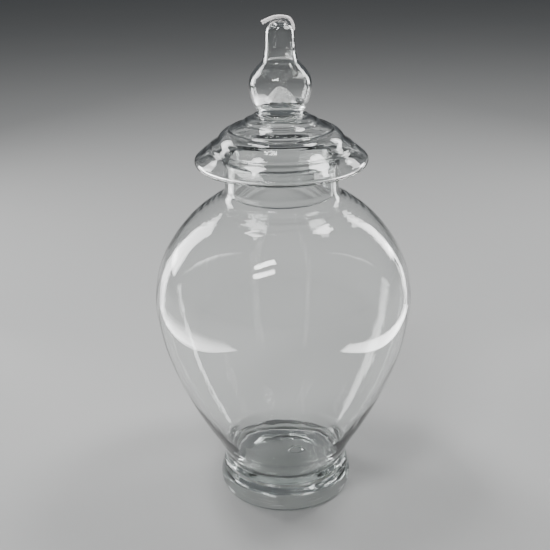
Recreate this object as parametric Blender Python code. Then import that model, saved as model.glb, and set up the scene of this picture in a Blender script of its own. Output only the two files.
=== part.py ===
"""Footed glass specimen jar with a lift-off lid, in metres, +Z up.

The origin is the centre of the foot's resting face, and +Z is the jar's axis.  Every glass piece
is turned about that axis from an outline of (radius, height) points that starts and ends on it.
The lid and what is fused to it hang from one empty, which stands on the lifting axis.
"""
import math

import bmesh
import bpy
from mathutils import Vector
from mathutils.geometry import interpolate_bezier

# ---- driving dimensions ------------------------------------------------------------------------
GAP = 0.0003                # clearance kept between pieces that touch

FOOT_HEIGHT = 0.0305        # resting face to the crease under the body
FOOT_RADIUS = 0.0709        # widest
FOOT_WIDEST_HEIGHT = 0.0108
FOOT_REST_RADIUS = 0.0665   # outer edge of the flat resting ring
FOOT_REST_INNER = 0.0600    # inner edge of the flat resting ring
FOOT_HOLLOW = 0.0195        # rise of the domed underside

WAIST_RADIUS = 0.0659       # outside, where the body stands on the foot
BELLY_RADIUS = 0.1304
BELLY_HEIGHT = 0.2260
NECK_RADIUS = 0.0559        # outside
NECK_START = 0.3370
RIM_HEIGHT = 0.3643         # top of the neck
NECK_WALL = 0.0023
BELLY_WALL = 0.0030
HEEL_WALL = 0.0050          # low on the body, above the floor
HEEL_START = 0.1200         # below this the wall thickens towards the floor
FLOOR_RADIUS = 0.0523       # where the inside floor meets its corner
FLOOR_HEIGHT = 0.0352

PLUG_RADIUS = 0.0525        # outside of the lid's plug, loose in the neck
PLUG_BOTTOM = 0.3315
LID_WALL = 0.0035
BRIM_EDGE = 0.0042          # radius of the rolled brim edge
BRIM_EDGE_CENTRE = (0.0802, 0.3659)
BRIM_HOLLOW = 0.0014        # radius of the hollow's rounded end inside the brim
BRIM_HOLLOW_CENTRE = (0.0800, 0.3661)
BRIM_SLOPE = 52             # degrees above level at which the dome runs into the rolled edge
CROWN_RADIUS = 0.0225       # flat top of the lid, under the finial
CROWN_HEIGHT = 0.4112

BALL_RADIUS = 0.0300
BALL_HEIGHT = 0.4387
NIPPLE_FOOT = (0.0166, 0.4608)      # crease between the ball and the nipple
NIPPLE_RADIUS = 0.0138              # at the tip
TIP_CORNER = 0.0125                 # radius of the tip's rounded corner
TIP_CORNER_HEIGHT = 0.4858          # where that corner starts
NIPPLE_TOP = 0.4984
FINIAL_WALL = 0.0022
GATHER_HEIGHT = 0.4262      # top of the solid gather without its mound and its dip
GATHER_DIP = 0.0088         # how far it would dip at the ball's widest
MOUND_HEIGHT = 0.0092       # of the rounded mound in its middle
MOUND_RADIUS = 0.0156

TIE_WIDTH = (0.0050, 0.0028)        # at the cut end and at the stuck end
TIE_THICKNESS = (0.0040, 0.0022)

JAR_SEGMENTS = 40
FINIAL_SEGMENTS = 24
TIE_SIDES = 8
SHARP_ANGLE = math.radians(40)


# ---- outlines ----------------------------------------------------------------------------------
def arc(centre, radii, start, end, steps):
    """Points of an ellipse arc about centre, from start to end degrees, both ends included."""
    points = []
    for step in range(steps + 1):
        angle = math.radians(start + (end - start) * step / steps)
        points.append((centre[0] + radii[0] * math.cos(angle),
                       centre[1] + radii[1] * math.sin(angle)))
    return points


def smooth(knots, steps):
    """Smooth curve through unevenly spaced knots, with the given number of steps to each span."""
    stops = [Vector(knot) for knot in knots]
    lengths = [(b - a).length for a, b in zip(stops, stops[1:])]
    slopes = [(b - a) / length for a, b, length in zip(stops, stops[1:], lengths)]
    tangents = [slopes[0]]
    for before, after, run, onward in zip(slopes, slopes[1:], lengths, lengths[1:]):
        tangents.append((before * onward + after * run) / (run + onward))
    tangents.append(slopes[-1])
    points = [tuple(stops[0])]
    for index, length in enumerate(lengths):
        start, end = stops[index:index + 2]
        leave, arrive = (tangent * length / 3 for tangent in tangents[index:index + 2])
        curve = interpolate_bezier(start, start + leave, end - arrive, end, steps + 1)
        points += [tuple(point) for point in curve[1:]]
    return points


def inset(points, wall):
    """Outline moved inwards by wall(height), for points that run down an outer side."""
    moved = []
    for index, (radius, height) in enumerate(points):
        before = points[max(index - 1, 0)]
        after = points[min(index + 1, len(points) - 1)]
        run = after[0] - before[0]
        fall = after[1] - before[1]
        length = math.hypot(run, fall)
        thickness = wall(height)
        moved.append((radius + fall / length * thickness, height - run / length * thickness))
    return moved


# ---- materials and solids ----------------------------------------------------------------------
def make_material(name, colour, roughness, transmission=0.0):
    material = bpy.data.materials.new(name)
    material.use_nodes = True
    shader = material.node_tree.nodes["Principled BSDF"]
    shader.inputs["Base Color"].default_value = (*colour, 1.0)
    shader.inputs["Roughness"].default_value = roughness
    shader.inputs["Metallic"].default_value = 0.0
    shader.inputs["IOR"].default_value = 1.52
    shader.inputs["Transmission Weight"].default_value = transmission
    return material


def placed(name, shape, material, parent):
    """Object made from a finished bmesh, shaded smooth, under its parent."""
    mesh = bpy.data.meshes.new(name)
    bmesh.ops.recalc_face_normals(shape, faces=shape.faces)
    shape.to_mesh(mesh)
    shape.free()
    mesh.materials.append(material)
    mesh.shade_smooth()
    mesh.set_sharp_from_angle(angle=SHARP_ANGLE)
    piece = bpy.data.objects.new(name, mesh)
    bpy.context.collection.objects.link(piece)
    if parent:
        piece.parent = parent
        piece.location = -parent.location
    return piece


def turned(name, outline, segments, material, parent=None):
    """Solid of revolution about Z from an outline that starts and ends on the axis."""
    shape = bmesh.new()
    verts = [shape.verts.new((radius, 0.0, height)) for radius, height in outline]
    edges = [shape.edges.new(pair) for pair in zip(verts, verts[1:])]
    bmesh.ops.spin(shape, geom=verts + edges, cent=(0, 0, 0), axis=(0, 0, 1),
                   angle=2 * math.pi, steps=segments, use_merge=True)
    bmesh.ops.remove_doubles(shape, verts=shape.verts, dist=0.00001)
    return placed(name, shape, material, parent)


# ---- the jar -----------------------------------------------------------------------------------
def body_wall(height):
    """Thin at the neck, even on the belly, heavier towards the heel."""
    if height > BELLY_HEIGHT:
        share = min((height - BELLY_HEIGHT) / (NECK_START - BELLY_HEIGHT), 1.0)
        return BELLY_WALL + (NECK_WALL - BELLY_WALL) * share
    share = max((HEEL_START - height) / (HEEL_START - FOOT_HEIGHT), 0.0)
    return BELLY_WALL + (HEEL_WALL - BELLY_WALL) * share


def make_body(material):
    lip = NECK_WALL / 2
    rim = arc((NECK_RADIUS - lip, RIM_HEIGHT - lip), (lip, lip), 180, 0, 4)
    outer = smooth([
        (NECK_RADIUS, NECK_START),
        (0.0585, 0.3310),
        (0.0700, 0.3235),
        (0.0893, 0.3087),
        (0.1068, 0.2890),
        (0.1225, 0.2620),
        (BELLY_RADIUS, BELLY_HEIGHT),
        (0.1268, 0.1880),
        (0.1130, 0.1400),
        (0.0885, 0.0868),
        (0.0745, 0.0615),
        (0.0670, 0.0445),
        (WAIST_RADIUS, FOOT_HEIGHT + 0.0015),
    ], 2)
    base = [(WAIST_RADIUS - 0.0012, FOOT_HEIGHT + GAP), (0.0, FOOT_HEIGHT + GAP)]
    wall = [point for point in inset(outer, body_wall) if point[1] > 0.062]
    heel = smooth([wall[-1], (0.0605, 0.0450), (FLOOR_RADIUS, 0.0378), (0.0420, FLOOR_HEIGHT)], 2)
    inside = [(0.0, FLOOR_HEIGHT + 0.0006), *reversed(heel[1:]), *reversed(wall)]
    return turned("jar_body", inside + rim + outer + base, JAR_SEGMENTS, material)


def make_foot(material):
    """Thick glass foot: bulging side, flat resting ring and a domed hollow underneath."""
    side = smooth([
        (WAIST_RADIUS - 0.0009, FOOT_HEIGHT),
        (0.0683, 0.0225),
        (FOOT_RADIUS, FOOT_WIDEST_HEIGHT),
        (0.0699, 0.0036),
        (FOOT_REST_RADIUS, 0.0),
    ], 3)
    hollow = arc((0.0, 0.0), (FOOT_REST_INNER, FOOT_HOLLOW), 0, 90, 6)
    hollow[-1] = (0.0, FOOT_HOLLOW)
    return turned("foot", [(0.0, FOOT_HEIGHT), *side, *hollow], JAR_SEGMENTS, material)


# ---- the lid -----------------------------------------------------------------------------------
def lid_dome():
    """Outside of the lid, from the flat crown over the moulded step to the rolled brim edge."""
    edge = arc(BRIM_EDGE_CENTRE, (BRIM_EDGE, BRIM_EDGE), BRIM_SLOPE, -90, 6)
    slope = smooth([
        (CROWN_RADIUS, CROWN_HEIGHT),
        (0.0320, 0.4060),
        (0.0427, 0.3992),
        (0.0500, 0.3962),
        (0.0556, 0.3938),
        (0.0592, 0.3904),
        (0.0620, 0.3864),
        (0.0665, 0.3823),
        (0.0750, 0.3759),
        edge[0],
    ], 2)
    return slope, edge[1:]


def make_lid(material, parent):
    slope, edge = lid_dome()
    seat = RIM_HEIGHT + GAP
    underside = [(0.0700, 0.3629), (0.0572, seat), (PLUG_RADIUS + 0.0012, seat),
                 (PLUG_RADIUS, seat - 0.0014)]
    lip = LID_WALL / 2
    plug_lip = arc((PLUG_RADIUS - lip, PLUG_BOTTOM + lip), (lip, lip), 0, -180, 5)
    plug_inside = PLUG_RADIUS - LID_WALL
    throat = [(plug_inside, seat - 0.0014), (plug_inside + 0.0010, seat + 0.0022),
              (plug_inside + 0.0040, seat + 0.0036), (0.0590, seat + 0.0035)]
    brim_hollow = arc(BRIM_HOLLOW_CENTRE, (BRIM_HOLLOW, BRIM_HOLLOW), -95, BRIM_SLOPE, 4)
    ceiling = [point for point in inset(slope, lambda height: LID_WALL)
               if CROWN_RADIUS < point[0] < BRIM_HOLLOW_CENTRE[0] - LID_WALL]
    roof = [*reversed(ceiling), (CROWN_RADIUS - 0.0015, CROWN_HEIGHT - LID_WALL),
            (0.0, CROWN_HEIGHT - LID_WALL)]
    outside = [(0.0, CROWN_HEIGHT), *slope, *edge, *underside]
    inside = [*plug_lip, *throat, *brim_hollow, *roof]
    return turned("lid", outside + inside, JAR_SEGMENTS, material, parent)


def finial_outside():
    """Outside of the nipple and ball, from the top on the axis down to the base."""
    tip = arc((NIPPLE_RADIUS - TIP_CORNER, TIP_CORNER_HEIGHT), (TIP_CORNER, TIP_CORNER), 90, 0, 4)
    stem = smooth([tip[-1], (0.0146, 0.4740), (0.0154, 0.4660), NIPPLE_FOOT], 1)
    ball = smooth([
        NIPPLE_FOOT,
        (0.0240, 0.4525),
        (0.0281, 0.4465),
        (BALL_RADIUS, BALL_HEIGHT),
        (0.0294, 0.4309),
        (0.0271, 0.4232),
        (0.0216, CROWN_HEIGHT + GAP),
    ], 2)
    return [(0.0, NIPPLE_TOP), *tip, *stem[1:], *ball[1:]]


def make_finial(material, parent):
    """Hollow ball and nipple, open at its base, where the solid gather fills it."""
    outside = finial_outside()
    inside = inset(outside, lambda height: FINIAL_WALL)
    inside[0] = (0.0, NIPPLE_TOP - FINIAL_WALL)
    inside[-1] = (outside[-1][0] - FINIAL_WALL, outside[-1][1])
    return turned("finial", [*outside, *reversed(inside)], FINIAL_SEGMENTS, material, parent)


def gather_top(radius):
    """Height of the gather's top: a rounded mound that runs out to a dip along the ball's wall."""
    mound = math.cos(min(radius / MOUND_RADIUS, 1.0) * math.pi / 2) ** 1.5
    return GATHER_HEIGHT - GATHER_DIP * (radius / BALL_RADIUS) ** 2 + MOUND_HEIGHT * mound


def make_joint(material, parent):
    """Solid gather that closes the ball's base, with a mound on its top inside the ball."""
    base = CROWN_HEIGHT + GAP
    clear = FINIAL_WALL + 2 * GAP
    inside = inset(finial_outside(), lambda height: clear)
    side = [point for point in inside[:-1] if base < point[1] < gather_top(point[0]) - 0.001]
    foot = (finial_outside()[-1][0] - clear - GAP, base)
    edge = side[0][0] - 0.0004
    steps = 10
    radii = [edge * (1 - step / steps) for step in range(steps + 1)]
    outline = [(0.0, base), foot, *reversed(side), *[(radius, gather_top(radius)) for radius in radii]]
    return turned("finial_joint", outline, FINIAL_SEGMENTS, material, parent)


def tie_path():
    """Middle of the tie, from its cut end over the tip and down the far side, a little in front."""
    knots = [
        (-0.0162, 0.0, 0.4952),
        (-0.0110, 0.0, 0.4977),
        (-0.0055, 0.0, 0.4998),
        (0.0, 0.0, 0.5004),
        (0.0046, -0.0010, 0.5003),
        (0.0086, -0.0024, 0.4992),
        (0.0108, -0.0040, 0.4970),
        (0.0120, -0.0055, 0.4942),
        (0.0126, -0.0066, 0.4918),
        (0.0129, -0.0074, 0.4895),
    ]
    return [Vector(point) for point in smooth(knots, 2)]


def make_tie(material, parent):
    """Short flattened tie, bent over the finial's tip with one cut end standing off."""
    path = tie_path()
    tip_centre = Vector((0.0, 0.0, TIP_CORNER_HEIGHT))
    shape = bmesh.new()
    rings = []
    for index, point in enumerate(path):
        share = index / (len(path) - 1)
        half_width = (TIE_WIDTH[0] + (TIE_WIDTH[1] - TIE_WIDTH[0]) * share) / 2
        half_thick = (TIE_THICKNESS[0] + (TIE_THICKNESS[1] - TIE_THICKNESS[0]) * share) / 2
        along = (path[min(index + 1, len(path) - 1)] - path[max(index - 1, 0)]).normalized()
        outward = point - tip_centre
        outward = (outward - along * outward.dot(along)).normalized()
        sideways = outward.cross(along)
        ring = []
        for side in range(TIE_SIDES):
            angle = 2 * math.pi * side / TIE_SIDES
            offset = sideways * half_width * math.cos(angle) + outward * half_thick * math.sin(angle)
            ring.append(shape.verts.new(point + offset))
        rings.append(ring)
    for near, far in zip(rings, rings[1:]):
        for side in range(TIE_SIDES):
            after = (side + 1) % TIE_SIDES
            shape.faces.new((near[side], near[after], far[after], far[side]))
    shape.faces.new(rings[0])
    shape.faces.new(rings[-1])
    return placed("tie_strip", shape, material, parent)


def main():
    for old in list(bpy.data.objects):
        bpy.data.objects.remove(old, do_unlink=True)
    lift_axis = bpy.data.objects.new("lid_lift_axis", None)
    lift_axis.location = (0.0, 0.0, RIM_HEIGHT)
    bpy.context.collection.objects.link(lift_axis)
    make_body(make_material("body_glass", (0.93, 0.95, 0.94), 0.02, 1.0))
    make_foot(make_material("foot_glass", (0.90, 0.94, 0.92), 0.03, 1.0))
    make_lid(make_material("lid_glass", (0.93, 0.95, 0.94), 0.02, 1.0), lift_axis)
    make_finial(make_material("finial_glass", (0.94, 0.95, 0.95), 0.02, 1.0), lift_axis)
    make_joint(make_material("joint_glass", (0.92, 0.92, 0.90), 0.35, 0.4), lift_axis)
    make_tie(make_material("tie_white", (0.90, 0.86, 0.85), 0.80), lift_axis)


main()
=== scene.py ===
"""Looks of the footed glass jar: blown glass, the tie on its finial, floor, light, camera."""
import math

import bmesh
import bpy
from mathutils import Matrix, Vector, noise
from mathutils.geometry import interpolate_bezier


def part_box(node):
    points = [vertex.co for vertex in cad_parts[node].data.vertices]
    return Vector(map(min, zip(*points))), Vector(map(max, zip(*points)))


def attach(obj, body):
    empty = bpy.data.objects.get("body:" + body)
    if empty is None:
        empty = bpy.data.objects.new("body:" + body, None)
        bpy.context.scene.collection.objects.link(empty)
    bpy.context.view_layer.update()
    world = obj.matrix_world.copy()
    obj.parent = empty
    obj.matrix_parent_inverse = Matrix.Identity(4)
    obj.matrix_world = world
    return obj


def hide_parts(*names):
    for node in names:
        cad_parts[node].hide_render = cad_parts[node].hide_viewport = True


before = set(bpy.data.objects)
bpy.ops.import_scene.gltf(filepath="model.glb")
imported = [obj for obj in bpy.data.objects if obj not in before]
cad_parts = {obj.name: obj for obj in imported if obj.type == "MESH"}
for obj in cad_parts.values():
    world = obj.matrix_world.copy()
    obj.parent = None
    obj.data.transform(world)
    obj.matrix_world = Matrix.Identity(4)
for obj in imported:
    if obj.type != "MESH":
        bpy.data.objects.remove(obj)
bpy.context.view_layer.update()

# ---- sizes, from the frame and the walls of the CAD model --------------------------------------
body_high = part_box("jar_body")[1]
foot_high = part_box("foot")[1]
lid_low, lid_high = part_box("lid")
finial_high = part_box("finial")[1]

BELLY_RADIUS = body_high.x
RIM_HEIGHT = body_high.z
FOOT_HEIGHT = foot_high.z
FOOT_RADIUS = foot_high.x
PLUG_BOTTOM = lid_low.z
CROWN_HEIGHT = lid_high.z
BRIM_RADIUS = lid_high.x
BALL_RADIUS = finial_high.x
NIPPLE_TOP = finial_high.z

NECK_RADIUS = 0.0559
NECK_WALL = 0.0023
NECK_START = 0.3370
BELLY_WALL = 0.0030
BELLY_HEIGHT = 0.2260
HEEL_WALL = 0.0050
HEEL_START = 0.1200
FLOOR_RADIUS = 0.0510       # flat part of the inside floor
FLOOR_HEIGHT = 0.0352
FLOOR_RISE = 0.0006
HEEL_TOP = 0.0520           # the rounding into the floor starts here
WAIST_RADIUS = 0.0659
FOOT_REST_RADIUS = 0.0665
FOOT_REST_INNER = 0.0600
FOOT_HOLLOW = 0.0195
SEAT_HEIGHT = RIM_HEIGHT + 0.0003
PLUG_RADIUS = 0.0525
LID_WALL = 0.0035
DOME_START = (0.0225, 0.4109)
BRIM_EDGE = 0.0042
BRIM_EDGE_HEIGHT = 0.3659
BRIM_HOLLOW = 0.0014
BRIM_HOLLOW_CENTRE = (0.0800, 0.3661)
BRIM_SLOPE = 52
BALL_HEIGHT = 0.4387
NIPPLE_FOOT = (0.0166, 0.4608)
NIPPLE_RADIUS = 0.0138
TIP_CORNER = 0.0125
TIP_CORNER_HEIGHT = 0.4858
FINIAL_WALL = 0.0022
CAVITY_ROUNDING = 0.0008    # bevel between the finial's inside wall and the gather's top
GATHER_HEIGHT = 0.4262
GATHER_DIP = 0.0088
MOUND_HEIGHT = 0.0092
MOUND_RADIUS = 0.0156
FROST_RADIUS = 0.0150       # the white, bubbly part of the gather's top
TIE_WIDTH = (0.0050, 0.0028)
TIE_THICKNESS = (0.0040, 0.0022)
TIE_INSET = 0.0001          # keeps the woven surface inside the CAD tie
TIE_CORNERS = (0.7, 0.8)    # below 1 squares the cross-section, across and through

# ---- marks left by the glassblower -------------------------------------------------------------
DOME_RINGS = (0.0262, 0.0358, 0.0492, 0.0700)
DOME_RING_RISE = 0.0006
DOME_RING_WIDTH = 0.0011
SHOULDER_RINGS = (0.0640, 0.0690, 0.0750, 0.0820)
SHOULDER_RING_RISE = 0.00022
SHOULDER_RING_WIDTH = 0.0016
INNER_RIPPLE = 0.00022      # unevenness of the surfaces that never touched a mould
LID_RIPPLE = 0.00045
OUTER_RIPPLE = 0.00006
RIPPLE_GRAIN = 28.0
RIPPLE_STRETCH = 0.6        # below 1 draws the ripple out along the axis
RIPPLE_FADE_RADIUS = 0.02   # the ripple dies out from here to the axis
JAR_SEED = 3.0
LID_SEED = 11.0
CAVITY_SEED = 17.0
PONTIL_CENTRE = Vector((0.0128, 0.0018))
PONTIL_RADIUS = 0.0080
PONTIL_RIDGE = 0.0010
PONTIL_DROP = 0.0012
PONTIL_ROUGHNESS = 0.8
PONTIL_GRAIN = 400.0
PONTIL_FIELD = 0.024        # finely meshed middle of the underside
GATHER_LUMPS = ((0.0016, 150.0), (0.0009, 420.0))   # height and grain
GATHER_LUMPS_REACH = FROST_RADIUS + 0.003
FROST_HEADROOM = 0.002      # over the mound's peak, and below the wall of the nipple
FROST_FRAY = 0.0015
FROST_FRAY_GRAIN = 260.0

# ---- weave of the tie --------------------------------------------------------------------------
TIE_WEAVE_PITCH = 0.0011
TIE_WEAVE_DEPTH = 0.05      # share of the half width
TIE_RIBS = 8
TIE_FRAY = 0.0004
TIE_FRAY_GRAIN = 2500.0

# ---- fineness ----------------------------------------------------------------------------------
SEGMENTS = 160
CAVITY_SEGMENTS = 112
TIE_SIDES = 32
TOLERANCE = 0.0001          # for picking out what lies on a level

# ---- light -------------------------------------------------------------------------------------
# Full angles of the cards' beams, in degrees.  They limit how much of the cards shows through the
# glass, but from behind the low cards still show as bright patches on the belly.
NEAR_CARD_SPREAD = 70
LOW_CARD_SPREAD = 140


# ---- outlines ----------------------------------------------------------------------------------
def arc(centre, radii, start, end, steps):
    points = []
    for step in range(steps + 1):
        angle = math.radians(start + (end - start) * step / steps)
        points.append((centre[0] + radii[0] * math.cos(angle),
                       centre[1] + radii[1] * math.sin(angle)))
    return points


def smooth(knots, steps):
    """Smooth curve through unevenly spaced knots, with the given number of steps to each span."""
    stops = [Vector(knot) for knot in knots]
    lengths = [(b - a).length for a, b in zip(stops, stops[1:])]
    slopes = [(b - a) / length for a, b, length in zip(stops, stops[1:], lengths)]
    tangents = [slopes[0]]
    for before, after, run, onward in zip(slopes, slopes[1:], lengths, lengths[1:]):
        tangents.append((before * onward + after * run) / (run + onward))
    tangents.append(slopes[-1])
    points = [tuple(stops[0])]
    for index, length in enumerate(lengths):
        start, end = stops[index:index + 2]
        leave, arrive = (tangent * length / 3 for tangent in tangents[index:index + 2])
        curve = interpolate_bezier(start, start + leave, end - arrive, end, steps + 1)
        points += [tuple(point) for point in curve[1:]]
    return points


def straight(start, end, steps):
    """Points between start and end, without either."""
    return [(start[0] + (end[0] - start[0]) * step / steps,
             start[1] + (end[1] - start[1]) * step / steps) for step in range(1, steps)]


def inset(points, wall):
    """Outline moved inwards by wall(height), for points that run down an outer side."""
    moved = []
    for index, (radius, height) in enumerate(points):
        before = points[max(index - 1, 0)]
        after = points[min(index + 1, len(points) - 1)]
        run = after[0] - before[0]
        fall = after[1] - before[1]
        length = math.hypot(run, fall)
        thickness = wall(height)
        moved.append((radius + fall / length * thickness, height - run / length * thickness))
    return moved


def ringed(points, rings, rise, width):
    """Raises soft turning rings at the given radii."""
    raised = []
    for radius, height in points:
        swell = sum(math.exp(-((radius - ring) / width) ** 2) for ring in rings)
        raised.append((radius, height + rise * swell))
    return raised


# ---- meshes ------------------------------------------------------------------------------------
def ripple(point, amount, seed):
    """Slow unevenness of hand-blown glass, as a distance along the radius."""
    spot = Vector((point.x * RIPPLE_GRAIN, point.y * RIPPLE_GRAIN,
                   point.z * RIPPLE_GRAIN * RIPPLE_STRETCH + seed))
    return amount * noise.noise(spot)


def turn_into(shape, outline, segments, amount, seed):
    """Adds a turned shell to shape.  The outline starts and ends on the axis.

    amount(index) is the ripple at that point of the outline.
    """
    rings = []
    for index, (radius, height) in enumerate(outline):
        if radius < 1e-6:
            rings.append([shape.verts.new((0.0, 0.0, height))])
            continue
        fade = min(radius / RIPPLE_FADE_RADIUS, 1.0)
        ring = []
        for step in range(segments):
            angle = 2 * math.pi * step / segments
            point = Vector((radius * math.cos(angle), radius * math.sin(angle), height))
            push = ripple(point, amount(index) * fade, seed)
            point.x += math.cos(angle) * push
            point.y += math.sin(angle) * push
            ring.append(shape.verts.new(point))
        rings.append(ring)
    for near, far in zip(rings, rings[1:]):
        for step in range(segments):
            after = (step + 1) % segments
            if len(near) == 1:
                corners = (near[0], far[after], far[step])
            elif len(far) == 1:
                corners = (near[step], near[after], far[0])
            else:
                corners = (near[step], near[after], far[after], far[step])
            shape.faces.new(corners)
    bmesh.ops.recalc_face_normals(shape, faces=shape.faces)


def add_piece(name, shape, materials, body):
    mesh = bpy.data.meshes.new(name)
    shape.to_mesh(mesh)
    shape.free()
    for material in materials:
        mesh.materials.append(material)
    mesh.shade_smooth()
    piece = bpy.data.objects.new(name, mesh)
    bpy.context.collection.objects.link(piece)
    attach(piece, body)
    return piece


# ---- materials ---------------------------------------------------------------------------------
def new_material(name):
    material = bpy.data.materials.new(name)
    material.use_nodes = True
    tree = material.node_tree
    return material, tree, tree.nodes["Principled BSDF"]


def object_space(tree, stretch=(1.0, 1.0, 1.0)):
    """Object coordinates, scaled along each axis."""
    place = tree.nodes.new("ShaderNodeTexCoord")
    mapping = tree.nodes.new("ShaderNodeMapping")
    mapping.inputs["Scale"].default_value = stretch
    tree.links.new(place.outputs["Object"], mapping.inputs["Vector"])
    return mapping.outputs["Vector"]


def noise_field(tree, vector, scale, detail, roughness=0.5):
    field = tree.nodes.new("ShaderNodeTexNoise")
    field.inputs["Scale"].default_value = scale
    field.inputs["Detail"].default_value = detail
    field.inputs["Roughness"].default_value = roughness
    tree.links.new(vector, field.inputs["Vector"])
    return field.outputs["Fac"]


def ramp(tree, value, low, high, start, end):
    """Maps value from low..high to start..end, held at both ends."""
    step = tree.nodes.new("ShaderNodeMapRange")
    step.inputs["From Min"].default_value = low
    step.inputs["From Max"].default_value = high
    step.inputs["To Min"].default_value = start
    step.inputs["To Max"].default_value = end
    tree.links.new(value, step.inputs["Value"])
    return step.outputs["Result"]


def two_tone(tree, value, first, second):
    mix = tree.nodes.new("ShaderNodeMix")
    mix.data_type = "RGBA"
    mix.inputs["A"].default_value = (*first, 1.0)
    mix.inputs["B"].default_value = (*second, 1.0)
    tree.links.new(value, mix.inputs["Factor"])
    return mix.outputs["Result"]


def add_bump(tree, shader, height, distance, strength=1.0):
    bump = tree.nodes.new("ShaderNodeBump")
    bump.inputs["Distance"].default_value = distance
    bump.inputs["Strength"].default_value = strength
    tree.links.new(height, bump.inputs["Height"])
    tree.links.new(bump.outputs["Normal"], shader.inputs["Normal"])


def glass_material():
    """Clear blown glass: faint cords drawn along it, a few dull specks, grey-green where thick."""
    material, tree, shader = new_material("clear_glass")
    shader.inputs["Base Color"].default_value = (0.985, 0.992, 0.988, 1.0)
    shader.inputs["IOR"].default_value = 1.52
    shader.inputs["Transmission Weight"].default_value = 1.0
    specks = noise_field(tree, object_space(tree), 420.0, 2.0)
    tree.links.new(ramp(tree, specks, 0.70, 0.78, 0.0, 0.14), shader.inputs["Roughness"])
    cords = noise_field(tree, object_space(tree, (1.0, 1.0, 0.16)), 95.0, 2.0)
    add_bump(tree, shader, cords, 0.00010)
    absorb = tree.nodes.new("ShaderNodeVolumeAbsorption")
    absorb.inputs["Color"].default_value = (0.78, 0.90, 0.86, 1.0)
    absorb.inputs["Density"].default_value = 6.0
    tree.links.new(absorb.outputs["Volume"], tree.nodes["Material Output"].inputs["Volume"])
    return material


def ground_material():
    """Ground glass of the resting ring, dull and scuffed."""
    material, tree, shader = new_material("ground_ring")
    shader.inputs["Base Color"].default_value = (0.90, 0.92, 0.91, 1.0)
    shader.inputs["IOR"].default_value = 1.52
    shader.inputs["Transmission Weight"].default_value = 0.55
    scuffs = noise_field(tree, object_space(tree), 700.0, 3.0)
    tree.links.new(ramp(tree, scuffs, 0.3, 0.7, 0.35, 0.75), shader.inputs["Roughness"])
    add_bump(tree, shader, scuffs, 0.00008)
    return material


def frosted_material():
    """White, bubbly top of the solid gather inside the ball."""
    material, tree, shader = new_material("frosted_gather")
    shader.inputs["IOR"].default_value = 1.52
    shader.inputs["Transmission Weight"].default_value = 0.05
    shader.inputs["Roughness"].default_value = 0.45
    vector = object_space(tree)
    bubbles = tree.nodes.new("ShaderNodeTexVoronoi")
    bubbles.inputs["Scale"].default_value = 620.0
    tree.links.new(vector, bubbles.inputs["Vector"])
    patches = noise_field(tree, vector, 240.0, 4.0, 0.6)
    tone = two_tone(tree, ramp(tree, patches, 0.35, 0.62, 0.0, 1.0), (0.84, 0.83, 0.82),
                    (1.0, 1.0, 0.99))
    tree.links.new(tone, shader.inputs["Base Color"])
    add_bump(tree, shader, bubbles.outputs["Distance"], 0.0006, 0.7)
    return material


def tie_material():
    """Matte white woven tie with a pinkish cast in random patches."""
    material, tree, shader = new_material("white_tie")
    shader.inputs["Roughness"].default_value = 0.85
    shader.inputs["Sheen Weight"].default_value = 0.25
    shader.inputs["Sheen Roughness"].default_value = 0.5
    vector = object_space(tree)
    fibres = noise_field(tree, vector, 2600.0, 3.0, 0.6)
    patches = noise_field(tree, vector, 180.0, 2.0)
    tone = two_tone(tree, ramp(tree, patches, 0.35, 0.65, 0.0, 1.0), (0.95, 0.88, 0.88),
                    (0.98, 0.96, 0.95))
    tree.links.new(tone, shader.inputs["Base Color"])
    add_bump(tree, shader, fibres, 0.00015)
    return material


def floor_material():
    """Pale seamless paper with a fine tooth."""
    material, tree, shader = new_material("floor_paper")
    shader.inputs["Roughness"].default_value = 0.9
    vector = object_space(tree)
    tooth = noise_field(tree, vector, 900.0, 3.0)
    clouds = noise_field(tree, vector, 3.0, 2.0)
    tone = two_tone(tree, clouds, (0.425, 0.43, 0.43), (0.45, 0.45, 0.445))
    tree.links.new(tone, shader.inputs["Base Color"])
    add_bump(tree, shader, tooth, 0.0001)
    return material


# ---- the jar -----------------------------------------------------------------------------------
def body_wall(height):
    if height > BELLY_HEIGHT:
        share = min((height - BELLY_HEIGHT) / (NECK_START - BELLY_HEIGHT), 1.0)
        return BELLY_WALL + (NECK_WALL - BELLY_WALL) * share
    share = max((HEEL_START - height) / (HEEL_START - FOOT_HEIGHT), 0.0)
    return BELLY_WALL + (HEEL_WALL - BELLY_WALL) * share


def foot_underside():
    """Ground resting ring, then the domed hollow up to the axis, fine where the pontil scar is."""
    rest = straight((FOOT_REST_RADIUS, 0.0), (FOOT_REST_INNER, 0.0), 3)
    reach = math.degrees(math.acos(PONTIL_FIELD / FOOT_REST_INNER))
    hollow = arc((0.0, 0.0), (FOOT_REST_INNER, FOOT_HOLLOW), 0, reach, 18)
    rings = 32
    for step in range(1, rings + 1):
        radius = PONTIL_FIELD * (1 - step / rings)
        hollow.append((radius, FOOT_HOLLOW * math.sqrt(1 - (radius / FOOT_REST_INNER) ** 2)))
    return rest + hollow


def add_pontil_scar(shape):
    """Rough ring under the foot where the pontil rod was broken off."""
    for vert in shape.verts:
        if vert.co.z < FOOT_HOLLOW + TOLERANCE and vert.co.xy.length < PONTIL_FIELD:
            distance = (vert.co.xy - PONTIL_CENTRE).length
            spot = Vector((vert.co.x, vert.co.y, 0.5)) * PONTIL_GRAIN
            rough = 1.0 + PONTIL_ROUGHNESS * noise.noise(spot)
            ridge = math.exp(-((distance - PONTIL_RADIUS) / PONTIL_RIDGE) ** 2)
            vert.co.z -= PONTIL_DROP * ridge * rough


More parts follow.
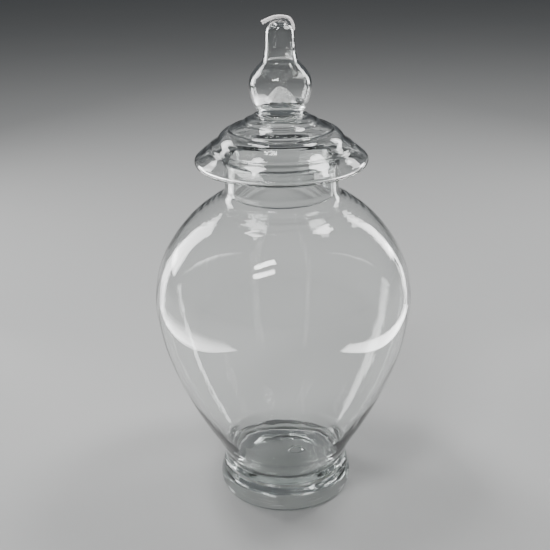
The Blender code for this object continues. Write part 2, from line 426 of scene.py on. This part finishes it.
def make_jar(glass, ground):
    lip = NECK_WALL / 2
    rim = arc((NECK_RADIUS - lip, RIM_HEIGHT - lip), (lip, lip), 180, 0, 12)
    neck = straight(rim[-1], (NECK_RADIUS, NECK_START), 6)
    outer = smooth([
        (NECK_RADIUS, NECK_START),
        (0.0585, 0.3310),
        (0.0700, 0.3235),
        (0.0893, 0.3087),
        (0.1068, 0.2890),
        (0.1225, 0.2620),
        (BELLY_RADIUS, BELLY_HEIGHT),
        (0.1268, 0.1880),
        (0.1130, 0.1400),
        (0.0885, 0.0868),
        (0.0745, 0.0615),
        (0.0670, 0.0445),
        (WAIST_RADIUS + 0.0002, FOOT_HEIGHT + 0.0045),
        (WAIST_RADIUS - 0.0003, FOOT_HEIGHT + 0.0018),
        (WAIST_RADIUS - 0.0016, FOOT_HEIGHT + 0.0002),
    ], 12)
    side = smooth([
        (WAIST_RADIUS - 0.0015, FOOT_HEIGHT - 0.0001),
        (WAIST_RADIUS + 0.0002, FOOT_HEIGHT - 0.0012),
        (0.0683, 0.0225),
        (FOOT_RADIUS, 0.0108),
        (0.0699, 0.0036),
        (FOOT_REST_RADIUS, 0.0),
    ], 8)
    wall = [point for point in inset(outer, body_wall) if point[1] > HEEL_TOP]
    heel = smooth([wall[-1], (0.0618, 0.0440), (0.0592, 0.0385), (0.0557, 0.0357),
                   (FLOOR_RADIUS, FLOOR_HEIGHT)], 6)
    centre = (0.0, FLOOR_HEIGHT + FLOOR_RISE)
    floor = [centre, *straight(centre, heel[-1], 8)]
    inside = [*floor, *reversed(heel), *reversed(wall[:-1])]
    shoulder = ringed(outer, SHOULDER_RINGS, SHOULDER_RING_RISE, SHOULDER_RING_WIDTH)
    upper = [raised if plain[1] > BELLY_HEIGHT else plain for raised, plain in zip(shoulder, outer)]
    outline = inside + rim + neck + upper + side + foot_underside()
    shape = bmesh.new()
    turn_into(shape, outline, SEGMENTS,
              lambda index: INNER_RIPPLE if index < len(inside) else OUTER_RIPPLE, JAR_SEED)
    add_pontil_scar(shape)
    for face in shape.faces:
        if face.calc_center_median().z < TOLERANCE:
            face.material_index = 1
    piece = add_piece("jar_glass", shape, [glass, ground], "jar")
    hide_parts("jar_body", "foot")


# ---- the lid -----------------------------------------------------------------------------------
def finial_outside():
    """Outside of the nipple and ball, from the top on the axis down to the dome."""
    tip = arc((NIPPLE_RADIUS - TIP_CORNER, TIP_CORNER_HEIGHT), (TIP_CORNER, TIP_CORNER), 90, 0, 16)
    stem = smooth([tip[-1], (0.0146, 0.4740), (0.0154, 0.4660), NIPPLE_FOOT], 6)
    ball = smooth([
        NIPPLE_FOOT,
        (0.0204, 0.4567),
        (0.0240, 0.4525),
        (0.0281, 0.4465),
        (BALL_RADIUS, BALL_HEIGHT),
        (0.0294, 0.4309),
        (0.0271, 0.4232),
        (0.0216, CROWN_HEIGHT + 0.0010),
    ], 7)
    return [(0.0, NIPPLE_TOP), *tip, *stem[1:], *ball[1:]]


def lid_slope(end):
    """Outside of the dome, from the finial's foot over the moulded step to the brim's edge."""
    return smooth([
        DOME_START,
        (0.0320, 0.4060),
        (0.0427, 0.3992),
        (0.0500, 0.3962),
        (0.0556, 0.3938),
        (0.0592, 0.3904),
        (0.0620, 0.3864),
        (0.0665, 0.3823),
        (0.0750, 0.3759),
        end,
    ], 9)


def lid_outline():
    """Outside of the fused lid, from the finial's tip to the plug, then its inside back up."""
    edge = arc((BRIM_RADIUS - BRIM_EDGE, BRIM_EDGE_HEIGHT), (BRIM_EDGE, BRIM_EDGE),
               BRIM_SLOPE, -90, 14)
    slope = lid_slope(edge[0])
    under = smooth([edge[-1], (0.0700, 0.3629), (0.0590, SEAT_HEIGHT - 0.0002),
                    (0.0565, SEAT_HEIGHT)], 5)
    root = [(PLUG_RADIUS + 0.0012, SEAT_HEIGHT), (PLUG_RADIUS + 0.0003, SEAT_HEIGHT - 0.0004),
            (PLUG_RADIUS, SEAT_HEIGHT - 0.0014)]
    lip = LID_WALL / 2
    plug_lip = arc((PLUG_RADIUS - lip, PLUG_BOTTOM + lip), (lip, lip), 0, -180, 12)
    bore = PLUG_RADIUS - LID_WALL
    throat = smooth([(bore, SEAT_HEIGHT - 0.0014), (bore + 0.0010, SEAT_HEIGHT + 0.0022),
                     (bore + 0.0040, SEAT_HEIGHT + 0.0036), (0.0590, SEAT_HEIGHT + 0.0035)], 5)
    pocket = arc(BRIM_HOLLOW_CENTRE, (BRIM_HOLLOW, BRIM_HOLLOW), -95, BRIM_SLOPE, 10)
    ceiling = [point for point in inset(slope, lambda height: LID_WALL)
               if DOME_START[0] < point[0] < BRIM_HOLLOW_CENTRE[0] - LID_WALL]
    roof = [*reversed(ceiling), (0.0150, CROWN_HEIGHT - LID_WALL), (0.0, CROWN_HEIGHT - LID_WALL)]
    dome = ringed(slope, DOME_RINGS, DOME_RING_RISE, DOME_RING_WIDTH)
    outside = [*finial_outside(), *dome, *edge[1:], *under[1:], *root,
               *straight(root[-1], plug_lip[0], 8)]
    inside = [*plug_lip, *straight(plug_lip[-1], throat[0], 8), *throat, *pocket, *roof]
    return outside, inside


def gather_top(radius):
    """Height of the gather's top: a rounded mound that runs out to a dip along the ball's wall."""
    mound = math.cos(min(radius / MOUND_RADIUS, 1.0) * math.pi / 2) ** 1.5
    return GATHER_HEIGHT - GATHER_DIP * (radius / BALL_RADIUS) ** 2 + MOUND_HEIGHT * mound


def cavity_outline():
    """Outline of the sealed hollow in the finial, down its wall and in along the gather's top."""
    wall = inset(finial_outside(), lambda height: FINIAL_WALL)
    walls = [point for point in wall[1:] if point[1] > gather_top(point[0]) + CAVITY_ROUNDING]
    edge = walls[-1][0] - CAVITY_ROUNDING
    steps = 48
    radii = [edge * (1 - step / steps) for step in range(steps + 1)]
    top = [(radius, gather_top(radius)) for radius in radii]
    return [(0.0, NIPPLE_TOP - FINIAL_WALL), *walls, *top]


def make_cavity():
    """Sealed hollow of the finial, with a lumpy frosted mound for its floor."""
    hollow = bmesh.new()
    turn_into(hollow, cavity_outline(), CAVITY_SEGMENTS, lambda index: INNER_RIPPLE, CAVITY_SEED)
    bmesh.ops.reverse_faces(hollow, faces=hollow.faces)
    for vert in hollow.verts:
        radius = vert.co.xy.length
        if vert.co.z < gather_top(radius) + 2 * TOLERANCE:
            near = max(1.0 - radius / GATHER_LUMPS_REACH, 0.0) ** 0.5
            lumps = sum(height * noise.noise(vert.co * grain) for height, grain in GATHER_LUMPS)
            vert.co.z += near * lumps
    for face in hollow.faces:
        middle = face.calc_center_median()
        ragged = FROST_RADIUS + FROST_FRAY * noise.noise(middle * FROST_FRAY_GRAIN)
        if middle.z < gather_top(0.0) + FROST_HEADROOM and middle.xy.length < ragged:
            face.material_index = 1
    mesh = bpy.data.meshes.new("cavity")
    hollow.to_mesh(mesh)
    hollow.free()
    return mesh


def make_lid(glass, frosted):
    outside, inside = lid_outline()
    shape = bmesh.new()
    turn_into(shape, outside + inside, SEGMENTS,
              lambda index: OUTER_RIPPLE if index < len(outside) else LID_RIPPLE, LID_SEED)
    cavity = make_cavity()
    shape.from_mesh(cavity)
    bpy.data.meshes.remove(cavity)
    piece = add_piece("lid_glass", shape, [glass, frosted], "lid")
    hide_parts("lid", "finial", "finial_joint")


# ---- the tie -----------------------------------------------------------------------------------
def between(ends, share):
    return ends[0] + (ends[1] - ends[0]) * share


def squared(value, power):
    """Raises value to power and keeps its sign."""
    return math.copysign(abs(value) ** power, value)


def tie_ring(path, index, travelled):
    """Points around the tie at one point of its path, ribbed by the weave, frayed at both ends."""
    point = path[index]
    last = len(path) - 1
    half_width = between(TIE_WIDTH, index / last) / 2 - TIE_INSET
    half_thick = between(TIE_THICKNESS, index / last) / 2 - TIE_INSET
    along = (path[min(index + 1, last)] - path[max(index - 1, 0)]).normalized()
    outward = point - Vector((0.0, 0.0, TIP_CORNER_HEIGHT))
    outward = (outward - along * outward.dot(along)).normalized()
    sideways = outward.cross(along)
    points = []
    for side in range(TIE_SIDES):
        angle = 2 * math.pi * side / TIE_SIDES
        offset = sideways * half_width * squared(math.cos(angle), TIE_CORNERS[0]) \
            + outward * half_thick * squared(math.sin(angle), TIE_CORNERS[1])
        weave = math.sin(travelled * 2 * math.pi / TIE_WEAVE_PITCH) * math.sin(angle * TIE_RIBS)
        swell = 1.0 - TIE_WEAVE_DEPTH * (1.0 - weave)
        fray = 0.0
        if index in (0, last):
            fray = TIE_FRAY * noise.noise(offset * TIE_FRAY_GRAIN) * (1 if index else -1)
        points.append(point + offset * swell + along * fray)
    return points


def make_tie(material):
    """Flat woven tie over the finial's tip, from its free cut end to the end beside the nipple."""
    path = [Vector(point) for point in smooth([
        (-0.0162, 0.0, 0.4952),
        (-0.0110, 0.0, 0.4977),
        (-0.0055, 0.0, 0.4998),
        (0.0, 0.0, 0.5004),
        (0.0046, -0.0010, 0.5003),
        (0.0086, -0.0024, 0.4992),
        (0.0108, -0.0040, 0.4970),
        (0.0120, -0.0055, 0.4942),
        (0.0126, -0.0066, 0.4918),
        (0.0129, -0.0074, 0.4895),
    ], 20)]
    shape = bmesh.new()
    rings = []
    travelled = 0.0
    for index, point in enumerate(path):
        if index:
            travelled += (point - path[index - 1]).length
        rings.append([shape.verts.new(corner) for corner in tie_ring(path, index, travelled)])
    for near, far in zip(rings, rings[1:]):
        for side in range(TIE_SIDES):
            after = (side + 1) % TIE_SIDES
            shape.faces.new((near[side], near[after], far[after], far[side]))
    for ring, middle in ((rings[0], path[0]), (rings[-1], path[-1])):
        hub = shape.verts.new(middle)
        for side in range(TIE_SIDES):
            shape.faces.new((ring[side], ring[(side + 1) % TIE_SIDES], hub))
    bmesh.ops.recalc_face_normals(shape, faces=shape.faces)
    piece = add_piece("tie", shape, [material], "lid")
    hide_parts("tie_strip")


# ---- stage, light, camera ----------------------------------------------------------------------
def make_floor():
    mesh = bpy.data.meshes.new("floor")
    half = 6.0
    mesh.from_pydata([(-half, -half, 0), (half, -half, 0), (half, half, 0), (-half, half, 0)], [],
                     [(0, 1, 2, 3)])
    mesh.materials.append(floor_material())
    floor = bpy.data.objects.new("floor", mesh)
    bpy.context.collection.objects.link(floor)


def area_light(name, place, size, power, turn, spread=180):
    """Rectangular soft light.  turn is its rotation in degrees, and at zero it faces down.

    spread is the full angle in degrees of the cone that it shines into.
    """
    data = bpy.data.lights.new(name, "AREA")
    data.shape = "RECTANGLE"
    data.size, data.size_y = size
    data.energy = power
    data.spread = math.radians(spread)
    light = bpy.data.objects.new(name, data)
    light.location = place
    light.rotation_euler = [math.radians(angle) for angle in turn]
    bpy.context.collection.objects.link(light)
    return light


def make_lights():
    world = bpy.data.worlds.new("studio")
    bpy.context.scene.world = world
    world.use_nodes = True
    background = world.node_tree.nodes["Background"]
    background.inputs["Color"].default_value = (0.80, 0.85, 0.90, 1.0)
    background.inputs["Strength"].default_value = 0.12
    area_light("left_rim_box", (-1.25, 0.86, 0.85), (0.48, 1.10), 16, (90, 0, 55 - 180))
    area_light("right_rim_box", (1.18, 1.02, 0.85), (0.26, 1.10), 9, (90, 0, 180 - 49))
    area_light("left_ceiling_box", (-0.60, 0.22, 1.90), (0.35, 0.75), 20, (0, 0, 20))
    area_light("right_ceiling_box", (0.84, 0.26, 1.90), (0.50, 0.45), 20, (0, 0, 0))
    area_light("near_ceiling_strip", (-0.52, -1.10, 1.90), (0.64, 0.15), 14, (0, 0, 10))
    area_light("far_ceiling_strip", (-0.60, -1.42, 1.90), (0.72, 0.15), 14, (0, 0, 6))
    cards = [
        area_light("left_near_card", (-0.50, 0.34, 0.165), (0.13, 0.33), 0.15,
                   (90, 0, 56 - 180), NEAR_CARD_SPREAD),
        area_light("right_near_card", (0.49, 0.38, 0.165), (0.05, 0.33), 0.075,
                   (90, 0, 180 - 52), NEAR_CARD_SPREAD),
        area_light("left_low_card", (-0.80, 0.02, 0.012), (0.80, 1.05), 38,
                   (180, 0, 11), LOW_CARD_SPREAD),
        area_light("right_low_card", (0.42, 0.02, 0.012), (0.12, 0.70), 5.4,
                   (180, 0, -8), LOW_CARD_SPREAD),
    ]
    for card in cards:
        card.visible_camera = False


def make_camera():
    data = bpy.data.cameras.new("camera")
    data.lens = 62.6
    data.sensor_width = 36.0
    camera = bpy.data.objects.new("camera", data)
    pitch = math.radians(23.2)
    yaw = math.radians(0.52)
    roll = math.radians(-1.0)
    camera.location = (0.0, -0.8988, 0.6280)
    camera.rotation_mode = "QUATERNION"
    turn = Matrix.Rotation(yaw, 4, "Z") @ Matrix.Rotation(math.pi / 2 - pitch, 4, "X") \
        @ Matrix.Rotation(roll, 4, "Z")
    camera.rotation_quaternion = turn.to_quaternion()
    bpy.context.collection.objects.link(camera)
    bpy.context.scene.camera = camera


clear_glass = glass_material()
make_jar(clear_glass, ground_material())
make_lid(clear_glass, frosted_material())
make_tie(tie_material())
make_floor()
make_lights()
make_camera()
